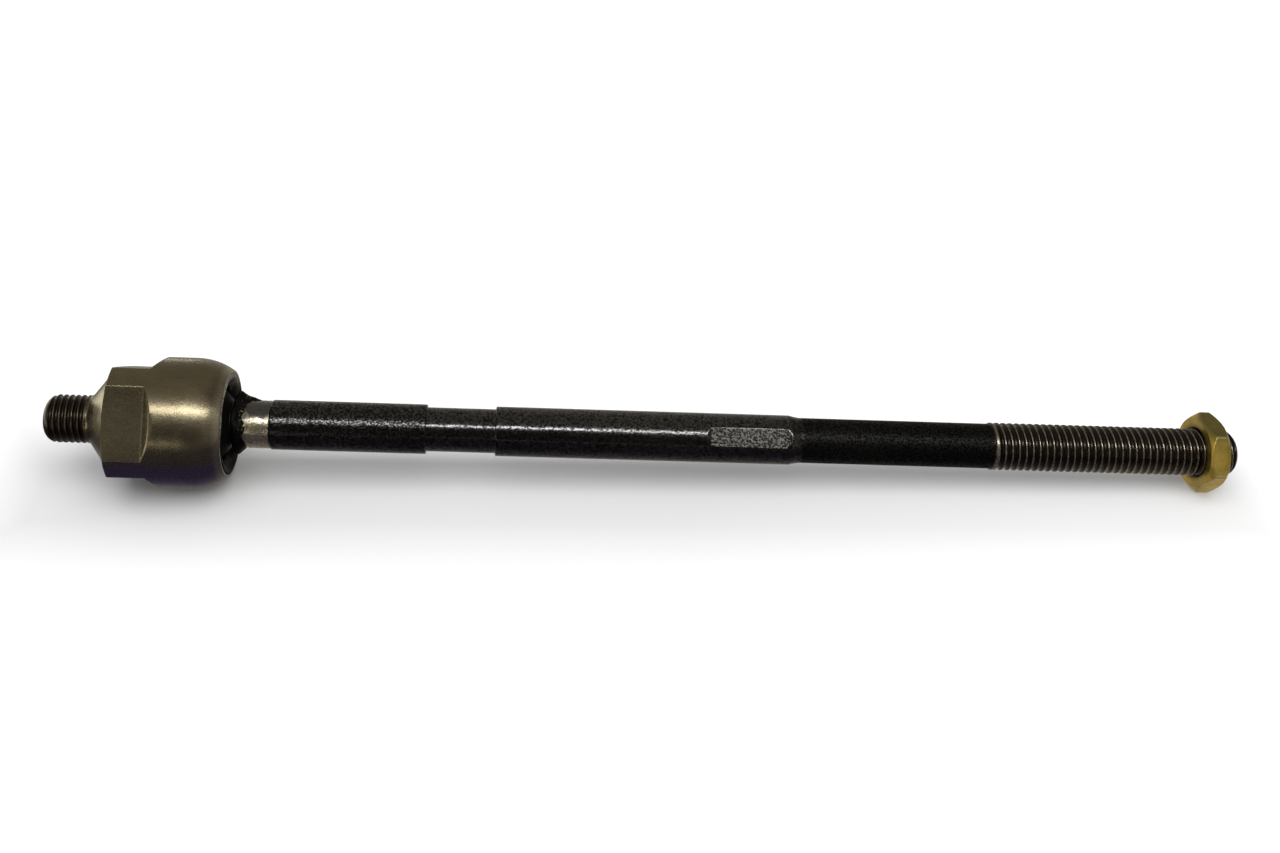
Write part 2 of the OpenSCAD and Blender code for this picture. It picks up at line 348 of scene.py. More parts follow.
beyond_flat = np.maximum(np.abs(rx - SHANK_FLATS_X) - SHANK_FLATS_HALF, 0)
for side in (0, math.pi):
    facing = np.cos(rod_angles - math.radians(SHANK_FLATS_TURN) - side)
    plane = SHANK_FLAT_R + beyond_flat / 2
    cut = np.where(facing > 0.3, plane / np.maximum(facing, 0.3), 99.0)
    cut = np.where((rx > 150) & (rx < 180), cut, 99.0)
    radius = smooth_min(radius, cut, 0.06)

on_thread = fade(rx, THREAD_START + 0.3, THREAD_START + 2.2)
rod_cut = thread_depth(rx, rod_angles[None, :], THREAD_PITCH) * on_thread
threaded = (rx > THREAD_START + 0.3) & (rr > 0.1)
radius = np.where(threaded, smooth_min(radius, THREAD_R - rod_cut, 0.06), radius)
radius[[0, -1]] = 0
rod, rod_rows = grid_mesh("tie_rod_shank", ring_positions(rx, radius, rod_angles[None, :]))
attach(rod, "rod")
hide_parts("tie_rod")

# %% [markdown]
# The jam nut is a thin hexagon nut. Its outline in section is a closed loop:
# back face, chamfer, flats, chamfer, front face and bore. The hexagon cuts
# every ring down to its flats, and where it meets the chamfer's cone the
# curved edges of a real nut appear by themselves.

# %% Jam nut
NUT_ACROSS, NUT_T, NUT_SETBACK, NUT_BORE_R = 18.0, 5.0, 3.9, 6.05
nut_front = ROD_END - NUT_SETBACK
nut_back = nut_front - NUT_T
nut_corner_r = NUT_ACROSS / math.sqrt(3)
chamfer_r = NUT_ACROSS / 2 - 0.15
chamfer_drop = (nut_corner_r - chamfer_r) * math.tan(math.radians(40))
nut_corners = [
    (nut_back, NUT_BORE_R + 0.5, 0.1, 0.4),
    (nut_back, chamfer_r, 0.15, 0.1),
    (nut_back + chamfer_drop, nut_corner_r, 0.2, 0.4),
    (nut_front - chamfer_drop, nut_corner_r, 0.2, 0.1),
    (nut_front, chamfer_r, 0.15, 0.4),
    (nut_front, NUT_BORE_R + 0.5, 0.12, 0.1),
    (nut_front - 0.5, NUT_BORE_R, 0.1, 0.5),
    (nut_back + 0.5, NUT_BORE_R, 0.1, 0.1),
    (nut_back + 0.02, NUT_BORE_R + 0.48, 0),
]
nut_profile = rounded_profile(nut_corners, 0.4)
nut_angles = full_turn(432)
nx, nr = nut_profile[:, :1], nut_profile[:, 1:]
off = (nut_angles - math.radians(90) + math.pi / 6) % (math.pi / 3) - math.pi / 6
hexagon = NUT_ACROSS / 2 / np.cos(off)
radius = smooth_min(
    np.repeat(nr, len(nut_angles), axis=1), np.broadcast_to(hexagon, (len(nx), 432)), 0.22
)
nut, nut_rows = grid_mesh(
    "hexagon_jam_nut", ring_positions(nx, radius, nut_angles[None, :]), closed_loop=True
)
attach(nut, "nut")
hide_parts("jam_nut")

# %% [markdown]
# Black grease fills the mouth of the housing. It comes as two rings with a
# lumpy surface: one sticks to the funnel behind the lip and is thickest on
# the far upper side, the other sits on the neck and moves with the rod.

# %% Grease
def lumps(along, angles, seed, count=14):
    """Smooth random waves, about -1 to 1: a sum of sines round and along the axis."""
    rng = np.random.default_rng(seed)
    total = np.zeros(np.broadcast(along, angles).shape)
    for _ in range(count):
        turns, rate, phase = rng.integers(1, 9), rng.normal(0, 1.1), rng.uniform(0, 2 * math.pi)
        total += np.sin(turns * angles + rate * along + phase)
    return total / math.sqrt(count / 2)


grease_angles = full_turn(180)[None, :]
upper_far = np.exp(-(((np.degrees(grease_angles) - 128) / 26) ** 2))
lower = np.exp(-(((np.degrees(grease_angles) - 290) / 40) ** 2))

gx = np.linspace(34.8, 42.0, 56)[:, None]
neck_line = NECK_R + 0.0 * gx
heap = np.interp(gx, [34.8, 35.2, 36.0, 37.0, 38.0, 42.0], [-0.3, 0.8, 0.9, 0.3, -0.25, -0.6])
far_heap = np.interp(gx, [34.8, 35.6, 38.0, 40.0, 41.6, 42.0], [0.0, 1.1, 1.15, 0.75, 0.35, 0.0])
low_heap = np.interp(gx, [34.8, 35.6, 36.5, 38.5, 42.0], [0.0, 0.6, 0.7, 0.3, 0.0])
skin = neck_line + heap + far_heap * upper_far + low_heap * lower
skin = skin + 0.13 * lumps(gx, grease_angles, 5) + 0.04 * lumps(3 * gx, 2 * grease_angles, 9)
inside = np.repeat(neck_line[::-1] - 0.5, 180, axis=1)
neck_grid = np.concatenate([
    ring_positions(gx, skin, grease_angles),
    ring_positions(gx[::-1], inside, grease_angles),
])
neck_grease, _ = grid_mesh("neck_grease", neck_grid, closed_loop=True)
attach(neck_grease, "rod")

share = np.linspace(0, 1, 22)[:, None]
wall_x = BALL_X + THROAT_REACH + share * (LIP_REACH - THROAT_REACH)
wall_r = THROAT_R + share * (lip_r - 0.75 - THROAT_R)
thick = 0.4 + 0.12 * lumps(4 * share, grease_angles, 21) + 0.7 * upper_far
thick = np.maximum(thick, 0.06) * np.sin(math.pi * np.clip(share * 0.9 + 0.05, 0, 1)) ** 0.5
out_x, out_r = wall_x + 0.84 * thick, wall_r - 0.54 * thick
back_x = np.repeat(wall_x[::-1] - 0.3, 180, axis=1)
back_r = np.repeat(wall_r[::-1] + 0.2, 180, axis=1)
rim_grid = np.concatenate([
    ring_positions(out_x, out_r, grease_angles),
    ring_positions(back_x, back_r, grease_angles),
])
rim_grease, _ = grid_mesh("rim_grease", rim_grid[::-1], closed_loop=True)
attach(rim_grease, "housing")

# %% [markdown]
# Materials are built from nodes by a few helpers. Every pattern reads Object
# coordinates, so it stays on the piece from any side, and noise may be
# stretched along the rod, as wear and wiped oil are.

# %% Material helpers
class Finish:
    """One material: a principled shader, with helpers that add and link nodes."""

    def __init__(self, name):
        self.material = bpy.data.materials.new(name)
        self.material.use_nodes = True
        self.tree = self.material.node_tree
        self.shader = self.tree.nodes["Principled BSDF"]
        self.coords = self.add("ShaderNodeTexCoord").outputs["Object"]

    def add(self, kind, **values):
        node = self.tree.nodes.new(kind)
        for key, value in values.items():
            setattr(node, key, value)
        return node

    def feed(self, socket, value):
        """Sets a socket to a number or colour, or links another node's output to it."""
        if isinstance(value, bpy.types.NodeSocket):
            self.tree.links.new(value, socket)
        else:
            socket.default_value = value

    def noise(self, scale, detail=4, rough=0.55, stretch=(1, 1, 1), warp=0):
        """Fractal noise in 0 to 1, about scale bumps per metre, stretched per axis."""
        place = self.add("ShaderNodeMapping")
        self.feed(place.inputs["Vector"], self.coords)
        place.inputs["Scale"].default_value = stretch
        node = self.add("ShaderNodeTexNoise")
        self.feed(node.inputs["Vector"], place.outputs["Vector"])
        node.inputs["Scale"].default_value = scale
        node.inputs["Detail"].default_value = detail
        node.inputs["Roughness"].default_value = rough
        node.inputs["Distortion"].default_value = warp
        return node.outputs["Fac"]

    def cells(self, scale, stretch=(1, 1, 1)):
        """Distance to the nearest of many scattered points, 0 at each point."""
        place = self.add("ShaderNodeMapping")
        self.feed(place.inputs["Vector"], self.coords)
        place.inputs["Scale"].default_value = stretch
        node = self.add("ShaderNodeTexVoronoi")
        self.feed(node.inputs["Vector"], place.outputs["Vector"])
        node.inputs["Scale"].default_value = scale
        return node.outputs["Distance"]

    def span(self, value, low, high, to_low=0.0, to_high=1.0):
        """Maps low..high to to_low..to_high, clamped."""
        node = self.add("ShaderNodeMapRange")
        self.feed(node.inputs["Value"], value)
        for key, number in zip(("From Min", "From Max", "To Min", "To Max"),
                               (low, high, to_low, to_high)):
            self.feed(node.inputs[key], number)
        return node.outputs["Result"]

    def math(self, how, a, b=0.0):
        node = self.add("ShaderNodeMath", operation=how)
        self.feed(node.inputs[0], a)
        self.feed(node.inputs[1], b)
        return node.outputs["Value"]

    def blend(self, amount, first, second):
        """Mixes two colours, or colour outputs, by an amount in 0 to 1."""
        node = self.add("ShaderNodeMix", data_type="RGBA")
        self.feed(node.inputs[0], amount)
        for socket, value in ((node.inputs[6], first), (node.inputs[7], second)):
            if not isinstance(value, bpy.types.NodeSocket):
                value = (*value, 1.0)
            self.feed(socket, value)
        return node.outputs[2]

    def along(self):
        """X in metres, along the rod."""
        node = self.add("ShaderNodeSeparateXYZ")
        self.feed(node.inputs[0], self.coords)
        return node.outputs["X"]

    def height(self):
        """Z in metres, above the rod's axis."""
        node = self.add("ShaderNodeSeparateXYZ")
        self.feed(node.inputs[0], self.coords)
        return node.outputs["Z"]

    def from_axis(self):
        """Distance from the X axis in metres."""
        node = self.add("ShaderNodeSeparateXYZ")
        self.feed(node.inputs[0], self.coords)
        y = self.math("MULTIPLY", node.outputs["Y"], node.outputs["Y"])
        z = self.math("MULTIPLY", node.outputs["Z"], node.outputs["Z"])
        return self.math("SQRT", self.math("ADD", y, z))

    def bump(self, height, strength, distance, under=None):
        node = self.add("ShaderNodeBump")
        node.inputs["Strength"].default_value = strength
        node.inputs["Distance"].default_value = distance
        self.feed(node.inputs["Height"], height)
        if under is not None:
            self.feed(node.inputs["Normal"], under)
        return node.outputs["Normal"]

    def finish(self, **sockets):
        """Feeds the principled shader, by socket name with spaces as underscores."""
        for key, value in sockets.items():
            socket = self.shader.inputs[key.replace("_", " ")]
            if isinstance(value, tuple) and len(value) == 3:
                value = (*value, 1.0)
            self.feed(socket, value)
        return self.material


# %% [markdown]
# The forging is bare steel under a film of oil. It reads as a dark olive
# metal with a broad, speckled highlight: fine scale and shot marks break the
# reflection up, and the oil pools into slightly darker, glossier patches.
# Its low side is painted a dark violet, a painted reflection of the shaded
# table below, and inside the mouth it is painted near black, for grease and
# for the shade deep in the recess.

# %% Oiled forging
def oiled_forging():
    f = Finish("oiled_forging")
    patches = f.noise(45, detail=6, rough=0.6)
    wiped = f.noise(130, detail=5, rough=0.6, stretch=(0.5, 1, 1))
    grain = f.noise(3200, detail=2, rough=0.6)
    pits = f.cells(1700)
    colour = f.blend(f.span(patches, 0.35, 0.68), (0.105, 0.087, 0.052), (0.135, 0.115, 0.073))
    colour = f.blend(f.span(wiped, 0.45, 0.7, 0.0, 0.35), colour, (0.2, 0.172, 0.11))
    # The low side is painted dark violet, fading again towards the very bottom: a painted reflection of the
    # shaded table below.
    low_side = f.span(f.height(), -0.0035, 0.0008, 1.0, 0.0)
    painted_low_violet = f.math("MULTIPLY", low_side, f.span(f.height(), -0.012, -0.0075, 0.15, 1.0))
    colour = f.blend(painted_low_violet, colour, (0.108, 0.086, 0.142))
    rubbed = f.math("MULTIPLY", f.span(f.along(), 0.0318, 0.0332), f.span(patches, 0.3, 0.6, 0.5, 1.0))
    colour = f.blend(rubbed, colour, (0.25, 0.22, 0.155))
    # Inside the mouth the forging is painted near black: grease there, and painted shade deep in the recess.
    mouth_r = (lip_r - 0.9) / 1000
    in_mouth = f.math(
        "MULTIPLY", f.span(f.from_axis(), mouth_r - 0.0006, mouth_r, 1.0, 0.0), f.span(f.along(), 0.026, 0.027)
    )
    colour = f.blend(in_mouth, colour, (0.003, 0.0025, 0.002))
    speck = f.span(pits, 0.12, 0.28, 1.0, 0.0)
    colour = f.blend(f.math("MULTIPLY", speck, 0.4), colour, (0.02, 0.016, 0.01))
    rough = f.span(patches, 0.3, 0.7, 0.23, 0.3)
    rough = f.math("ADD", rough, f.span(grain, 0.3, 0.7, -0.03, 0.04))
    normal = f.bump(f.noise(260, detail=3, rough=0.6), 0.25, 0.0003)
    normal = f.bump(grain, 0.12, 0.00006, under=normal)
    return f.finish(Base_Color=colour, Metallic=0.95, Roughness=rough, Normal=normal)


def oiled_thread(name, dark_steel, light_steel, low, high):
    f = Finish(name)
    # Only the top of each crest keeps the steel colour; flanks and roots are painted near black: painted shade
    # down in the grooves, with the oil in them.
    depth = f.span(f.from_axis(), 0.00578, 0.00599)
    dirt = f.noise(900, detail=5, rough=0.7)
    crest = f.math("MULTIPLY", depth, f.span(dirt, 0.35, 0.6, 0.4, 1.0))
    steel = f.blend(f.noise(140, detail=4), dark_steel, light_steel)
    colour = f.blend(crest, (0.012, 0.008, 0.005), steel)
    rough = f.span(dirt, 0.3, 0.7, low, high)
    normal = f.bump(dirt, 0.4, 0.00008)
    return f.finish(Base_Color=colour, Metallic=0.85, Roughness=rough, Normal=normal)


def mouth_grease():
    f = Finish("mouth_grease")
    waves = f.noise(230, detail=3, rough=0.5, warp=0.5)
    sparks = f.noise(1500, detail=3, rough=0.7)
    colour = f.blend(f.span(waves, 0.6, 0.8), (0.0012, 0.001, 0.0008), (0.004, 0.003, 0.002))
    # Golden sparks lie only on a band of the neck that faces the lamp: painted glints.
    spark = f.math("MULTIPLY", f.span(sparks, 0.6, 0.66), f.span(f.along(), 0.0366, 0.038))
    lit = f.math("MULTIPLY", f.span(f.height(), 0.0, 0.003), f.span(f.height(), 0.0055, 0.008, 1.0, 0.0))
    spark = f.math("MULTIPLY", spark, lit)
    colour = f.blend(spark, colour, (0.5, 0.4, 0.16))
    # Near the lip, over the upper half, the grease is painted a lighter grey: painted light on the upper inner
    # rim, where the grease is thin.
    mouth_r = (lip_r - 2.2) / 1000
    thin_grease_lit_rim = f.math("MULTIPLY", f.span(f.from_axis(), mouth_r, mouth_r + 0.0007), f.span(f.height(), 0.001, 0.006))
    thin_grease_lit_rim = f.math("MULTIPLY", thin_grease_lit_rim, f.span(sparks, 0.42, 0.55, 0.4, 1.0))
    colour = f.blend(thin_grease_lit_rim, colour, (0.2, 0.18, 0.14))
    rough = f.span(waves, 0.35, 0.65, 0.4, 0.6)
    normal = f.bump(waves, 0.5, 0.0006)
    return f.finish(
        Base_Color=colour, Metallic=spark, Roughness=rough, Normal=normal, Specular_IOR_Level=0.05
    )


# %% [markdown]
# The shank is painted black with a little gloss. Dust and the texture of the
# paint break its one sharp highlight into a speckled line. The spanner flats
# were milled after painting on many such rods, and here the paint on them is
# worn through to mottled grey. To the right of the shank the paint is duller.

# %% Black paint
def black_paint():
    f = Finish("black_paint")
    x = f.along()
    dust = f.noise(1900, detail=2, rough=0.6)
    cloud = f.noise(55, detail=4, stretch=(0.4, 1, 1))
    scratches = f.noise(500, detail=4, rough=0.6, stretch=(0.12, 1, 1))
    colour = f.blend(f.span(cloud, 0.3, 0.7), (0.001, 0.0009, 0.0007), (0.0026, 0.0023, 0.0018))
    fleck = f.math("MULTIPLY", f.span(dust, 0.64, 0.72), f.span(scratches, 0.45, 0.6))
    colour = f.blend(f.math("MULTIPLY", fleck, 0.3), colour, (0.05, 0.047, 0.038))
    dusty = f.span(x, 0.0826, 0.0830, 1.0, 0.0)
    dull = f.span(x, 0.1755, 0.1775)
    rough = f.math("ADD", f.span(dusty, 0, 1, 0.15, 0.15), f.span(dull, 0, 1, 0.0, 0.3))
    rough = f.math("ADD", rough, f.span(cloud, 0.3, 0.7, -0.02, 0.05))
    # Dust grains hide the gloss, so the highlight breaks into sparkles.
    open_paint = f.span(dust, f.span(dusty, 0, 1, 0.42, 0.49), f.span(dusty, 0, 1, 0.56, 0.54), 0.12)
    shine = f.math("MULTIPLY", open_paint, f.span(dusty, 0, 1, 0.75, 0.62))
    shine = f.math("MULTIPLY", shine, f.span(dull, 0, 1, 1.0, 0.15))
    normal = f.bump(f.noise(420, detail=3, rough=0.5), 0.25, 0.00012)
    grains = f.add("ShaderNodeBump")
    grains.inputs["Distance"].default_value = 0.00012
    f.feed(grains.inputs["Strength"], f.span(dusty, 0, 1, 0.08, 0.5))
    f.feed(grains.inputs["Height"], dust)
    f.feed(grains.inputs["Normal"], normal)
    return f.finish(
        Base_Color=colour, Roughness=rough, Normal=grains.outputs["Normal"], Specular_IOR_Level=shine
    )


def worn_flat():
    f = Finish("worn_flat")
    mottle = f.noise(2200, detail=2, rough=0.7, stretch=(0.8, 1, 1))
    cloud = f.noise(260, detail=3)
    bare = f.math("MULTIPLY", f.span(mottle, 0.5, 0.54), f.span(cloud, 0.25, 0.6, 0.6, 1.0))
    colour = f.blend(bare, (0.001, 0.001, 0.0008), (0.115, 0.112, 0.098))
    rough = f.span(mottle, 0.3, 0.7, 0.28, 0.5)
    normal = f.bump(mottle, 0.6, 0.0002)
    return f.finish(
        Base_Color=colour, Metallic=0.5, Roughness=rough, Normal=normal, Specular_IOR_Level=0.25
    )


def greasy_neck():
    f = Finish("greasy_neck")
    x = f.along()
    ragged = f.noise(420, detail=5, rough=0.65)
    border = f.math("ADD", x, f.span(ragged, 0.2, 0.8, -0.0042, 0.0042))
    bare = f.span(border, 0.0366, 0.0378)
    edge_noise = f.span(f.noise(600, detail=4, rough=0.7), 0.25, 0.75, -0.0012, 0.0012)
    covered = f.span(f.math("ADD", f.height(), edge_noise), 0.0041, 0.0051)
    bare = f.math("MULTIPLY", bare, f.math("SUBTRACT", 1.0, f.math("MULTIPLY", covered, 0.96)))
    specks = f.span(f.noise(1500, detail=3, rough=0.7), 0.56, 0.62)
    steel = f.blend(f.noise(300, detail=4), (0.3, 0.27, 0.19), (0.5, 0.46, 0.34))
    steel = f.blend(f.math("MULTIPLY", specks, 0.8), steel, (0.09, 0.07, 0.04))
    colour = f.blend(bare, (0.003, 0.003, 0.0025), steel)
    metal = f.span(bare, 0, 1, 0.0, 0.97)
    rough = f.span(ragged, 0.3, 0.7, 0.22, 0.34)
    deep = f.span(x, 0.0335, 0.036, 1.0, 0.0)
    rough = f.math("ADD", rough, f.math("MULTIPLY", deep, 0.25))
    shine = f.span(deep, 0, 1, 0.5, 0.03)
    normal = f.bump(f.noise(1100, detail=4, rough=0.7), 0.5, 0.00015)
    return f.finish(
        Base_Color=colour, Metallic=metal, Roughness=rough, Normal=normal, Specular_IOR_Level=shine
    )


# %% [markdown]
# The jam nut is zinc plated and passivated yellow: golden where light falls
# on it straight, olive at a slant, with brown oil round the bore. Its top
# flat is painted a darker olive, as painted shade.

# %% Yellow zinc
def yellow_zinc():
    f = Finish("yellow_zinc")
    tone = f.noise(160, detail=5, rough=0.6)
    grain = f.noise(2600, detail=2, rough=0.7)
    colour = f.blend(f.span(tone, 0.38, 0.62), (0.3, 0.24, 0.045), (0.54, 0.375, 0.085))
    haze = f.span(f.noise(330, detail=4, rough=0.6), 0.58, 0.72, 0.0, 0.55)
    colour = f.blend(haze, colour, (0.3, 0.15, 0.06))
    worn = f.math("MULTIPLY", f.span(f.from_axis(), 0.0099, 0.01035), f.span(grain, 0.3, 0.6, 0.2, 1.0))
    colour = f.blend(f.math("MULTIPLY", worn, 0.6), colour, (0.85, 0.72, 0.4))
    oil = f.span(f.from_axis(), 0.0063, 0.0076, 1.0, 0.0)
    oil = f.math("MULTIPLY", oil, f.span(tone, 0.3, 0.6, 0.4, 1.0))
    colour = f.blend(oil, colour, (0.03, 0.018, 0.006))
    dirt = f.span(f.cells(900), 0.05, 0.16, 0.55, 0.0)
    colour = f.blend(dirt, colour, (0.07, 0.05, 0.015))
    # The top flat of the nut is painted a darker olive: painted shade.
    painted_top_shade = f.math("MULTIPLY", f.span(f.height(), 0.0078, 0.0088), 0.72)
    colour = f.blend(painted_top_shade, colour, (0.13, 0.115, 0.035))
    rough = f.span(grain, 0.3, 0.7, 0.28, 0.42)
    normal = f.bump(grain, 0.35, 0.00008)
    return f.finish(Base_Color=colour, Metallic=0.9, Roughness=rough, Normal=normal)


def seat_plastic():
    f = Finish("seat_plastic")
    tone = f.noise(180, detail=3)
    colour = f.blend(f.span(tone, 0.3, 0.7), (0.62, 0.59, 0.49), (0.72, 0.7, 0.61))
    smear = f.span(f.noise(260, detail=5, rough=0.65), 0.5, 0.6)
    colour = f.blend(f.math("MULTIPLY", smear, 0.8), colour, (0.02, 0.017, 0.012))
    # Past 28 mm the seat is painted near black: grease there, and painted shade deep in the mouth.
    covered = f.span(f.along(), 0.0280, 0.0290)
    colour = f.blend(covered, colour, (0.003, 0.0028, 0.002))
    shine = f.span(covered, 0, 1, 0.5, 0.03)
    normal = f.bump(tone, 0.2, 0.0002)
    return f.finish(Base_Color=colour, Roughness=0.38, Normal=normal, Specular_IOR_Level=shine)


def spring_sheet():
    f = Finish("spring_sheet")
    tone = f.noise(400, detail=4)
    colour = f.blend(tone, (0.2, 0.2, 0.21), (0.34, 0.34, 0.35))
    normal = f.bump(tone, 0.25, 0.0001)
    return f.finish(Base_Color=colour, Metallic=0.95, Roughness=0.33, Normal=normal)


forging, grease = oiled_forging(), mouth_grease()
stub_finish = oiled_thread("stub_thread", (0.05, 0.037, 0.022), (0.13, 0.105, 0.07), 0.25, 0.42)
thread_finish = oiled_thread("rod_thread", (0.17, 0.14, 0.11), (0.3, 0.27, 0.22), 0.17, 0.34)
paint, flat_finish, neck_finish = black_paint(), worn_flat(), greasy_neck()
zinc, plastic, sheet = yellow_zinc(), seat_plastic(), spring_sheet()
print("materials:", len(bpy.data.materials))

# %% [markdown]
# A piece may carry several finishes. Each face gets the number of its
# finish from the place of its row along the profile, so a paint line or the
# end of a thread is crisp.

# %% Give each piece its finishes
def give(obj, finishes, numbers):
    for finish in finishes:
        obj.data.materials.append(finish)
    obj.data.polygons.foreach_set("material_index", numbers.astype(np.int32))
    obj.data.update()


def face_centres(obj):
    """Centre of every face in mm, as an array."""
    centres = np.empty(len(obj.data.polygons) * 3)
    obj.data.polygons.foreach_get("center", centres)
    return centres.reshape(-1, 3) / MM


PAINT_LINE = 43.75
centre = face_centres(housing)
along, across = centre[:, 0], np.hypot(centre[:, 1], centre[:, 2])
row_x = housing_profile[:, 0][housing_rows]
inner = housing_rows > np.argmax(housing_profile[:, 0] > BALL_X + LIP_REACH - 1e-6) + 4
numbers = np.zeros(len(centre))
numbers[(along < -0.5) & ~inner] = 1
numbers[inner] = 2
give(housing, [forging, stub_finish, grease], numbers)

centre = face_centres(rod)
along, across = centre[:, 0], np.hypot(centre[:, 1], centre[:, 2])
up = np.degrees(np.arctan2(centre[:, 2], -centre[:, 1]))
off_flat = (up - SHANK_FLATS_TURN + 90) % 180 - 90
half_width = math.degrees(edge) - 1
pointed_end = SHANK_FLATS_X + 9.2 + 1.7 * (1 - np.abs(off_flat) / half_width)
on_flat = (np.abs(off_flat) < half_width) & (along > SHANK_FLATS_X - 9.7) & (along < pointed_end)
numbers = np.zeros(len(centre))
numbers[along < PAINT_LINE] = 1
numbers[on_flat] = 2
numbers[along > THREAD_START - 0.3] = 3
give(rod, [paint, neck_finish, flat_finish, thread_finish], numbers)
give(nut, [zinc], np.zeros(len(nut.data.polygons)))
for ring in (neck_grease, rim_grease):
    give(ring, [grease], np.zeros(len(ring.data.polygons)))

for name, finish in (
    ("rear_ball_seat", plastic),
    ("front_ball_seat", plastic),
    ("disc_spring", sheet),
):
    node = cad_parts[name]
    node.data.materials.clear()
    node.data.materials.append(finish)
print("finishes given")

# %% [markdown]
# The photograph was taken from about forty degrees above the table, from only
# a third of a metre. That shows in the thread lines, which bow more and more
# towards the right end, and in the open face of the nut. The picture was
# cropped afterwards: the lens looked at a point above and left of the middle,
# so the camera's frame is shifted by the same amount.

# %% Camera
FRAME_W, FRAME_H = 1280.0, 853.0
FOCAL_PX, LENS_PX = 1300.0, (560.0, 259.7)
VIEW_UP, AIM_UP, YAW, ROLL = 38.0, 30.4, 1.79, 1.958
FOOT_X, DISTANCE = 104.58, 331.0

view_up, aim_up = math.radians(VIEW_UP), math.radians(AIM_UP)
yaw, roll = math.radians(YAW), math.radians(ROLL)
ahead0 = np.array([0, math.cos(aim_up), -math.sin(aim_up)])
up0 = np.array([0, math.sin(aim_up), math.cos(aim_up)])
along_rod = np.array([1.0, 0, 0])
ahead = ahead0 * math.cos(yaw) + along_rod * math.sin(yaw)
right0 = along_rod * math.cos(yaw) - ahead0 * math.sin(yaw)
right = right0 * math.cos(roll) + up0 * math.sin(roll)
up = up0 * math.cos(roll) - right0 * math.sin(roll)
place = np.array([FOOT_X, -DISTANCE * math.cos(view_up), DISTANCE * math.sin(view_up)]) * MM

camera_data = bpy.data.cameras.new("camera")
camera_data.sensor_width = 36.0
camera_data.lens = FOCAL_PX / FRAME_W * 36.0
camera_data.shift_x = (FRAME_W / 2 - LENS_PX[0]) / FRAME_W
camera_data.shift_y = (LENS_PX[1] - FRAME_H / 2) / FRAME_W
camera_data.clip_start = 0.01
camera = bpy.data.objects.new("camera", camera_data)
bpy.context.scene.collection.objects.link(camera)
basis = np.eye(4)
basis[:3, 0], basis[:3, 1], basis[:3, 2], basis[:3, 3] = right, up, -ahead, place
camera.matrix_world = Matrix(basis.tolist())
bpy.context.scene.camera = camera
print("camera at", np.round(place, 4), "lens", round(camera_data.lens, 2))

# %% [markdown]
# The part lies on a white table. It rests on its round body and on a flat of
# the nut, which are not equally thick, so the table's plane leans by a degree
# and a half in this frame. The table is plain white. For camera rays only it
# also glows, painted light that is low round the part and grows away from it,
# so that it reads as the white background and still shows the soft shadow.
# Reflections see a painted table instead: dark violet in front of the part,
# lighter behind it, dark under the stub, very bright far to the left.

# %% Table
nut_foot = np.array([nut_front, -NUT_ACROSS / 2])
to_ball = nut_foot - np.array([BALL_X, 0.0])
slope = (BODY_R - NUT_ACROSS / 2) / to_ball[0]
normal = np.array([-math.sin(slope), 0, math.cos(slope)])
foot = np.array([nut_front, 0, -NUT_ACROSS / 2])
drop = (foot - np.array([BALL_X, 0, 0])) @ normal + BODY_R
TABLE = 3.0
corners = []
side_a = np.array([math.cos(slope), 0, math.sin(slope)])
side_b = np.array([0, 1.0, 0])
middle = foot * MM - normal * max(drop, 0) * MM
for a, b in ((-1, -1), (1, -1), (1, 1), (-1, 1)):
    corners.append(tuple(middle + TABLE * (a * side_a + b * side_b)))
table_mesh = bpy.data.meshes.new("table")
table_mesh.from_pydata(corners, [], [(0, 1, 2, 3)])
table = bpy.data.objects.new("table", table_mesh)
bpy.context.scene.collection.objects.link(table)

table_finish = Finish("table_white")
tree = table_finish.tree
table_finish.finish(Base_Color=(0.82, 0.82, 0.82), Roughness=0.9, Specular_IOR_Level=0.0)
towards_back = table_finish.add("ShaderNodeSeparateXYZ")
table_finish.feed(towards_back.inputs[0], table_finish.coords)
y = towards_back.outputs["Y"]
# What reflections see is a painted reflection, an emission for glossy rays only: dark violet in front of the
# part, lighter behind it, dark under the stub, very bright far to the left and lighter to the right.
near = table_finish.blend(table_finish.span(y, -0.17, -0.11), (0.33, 0.31, 0.31), (0.095, 0.082, 0.115))
mirrored = table_finish.blend(table_finish.span(y, -0.017, 0.009), near, (0.5, 0.47, 0.42))
x = towards_back.outputs["X"]
mirrored = table_finish.blend(table_finish.span(x, -0.02, -0.008, 1.0, 0.0), mirrored, (0.08, 0.07, 0.07))
left = table_finish.span(x, -0.11, -0.06, 1.0, 0.0)
mirrored = table_finish.blend(left, mirrored, (4.2, 4.0, 3.3))
right = table_finish.math("MULTIPLY", table_finish.span(x, 0.24, 0.26), table_finish.span(y, -0.02, -0.01))
mirrored = table_finish.blend(right, mirrored, (0.6, 0.55, 0.46))
reflection = table_finish.add("ShaderNodeEmission")
table_finish.feed(reflection.inputs["Color"], mirrored)
rays = table_finish.add("ShaderNodeLightPath")
pick = table_finish.add("ShaderNodeMixShader")
table_finish.feed(pick.inputs[0], rays.outputs["Is Glossy Ray"])
tree.links.new(table_finish.shader.outputs[0], pick.inputs[1])
tree.links.new(reflection.outputs[0], pick.inputs[2])
far = table_finish.add("ShaderNodeVectorMath", operation="LENGTH")
table_finish.feed(far.inputs[0], table_finish.coords)
glow = table_finish.add("ShaderNodeEmission")
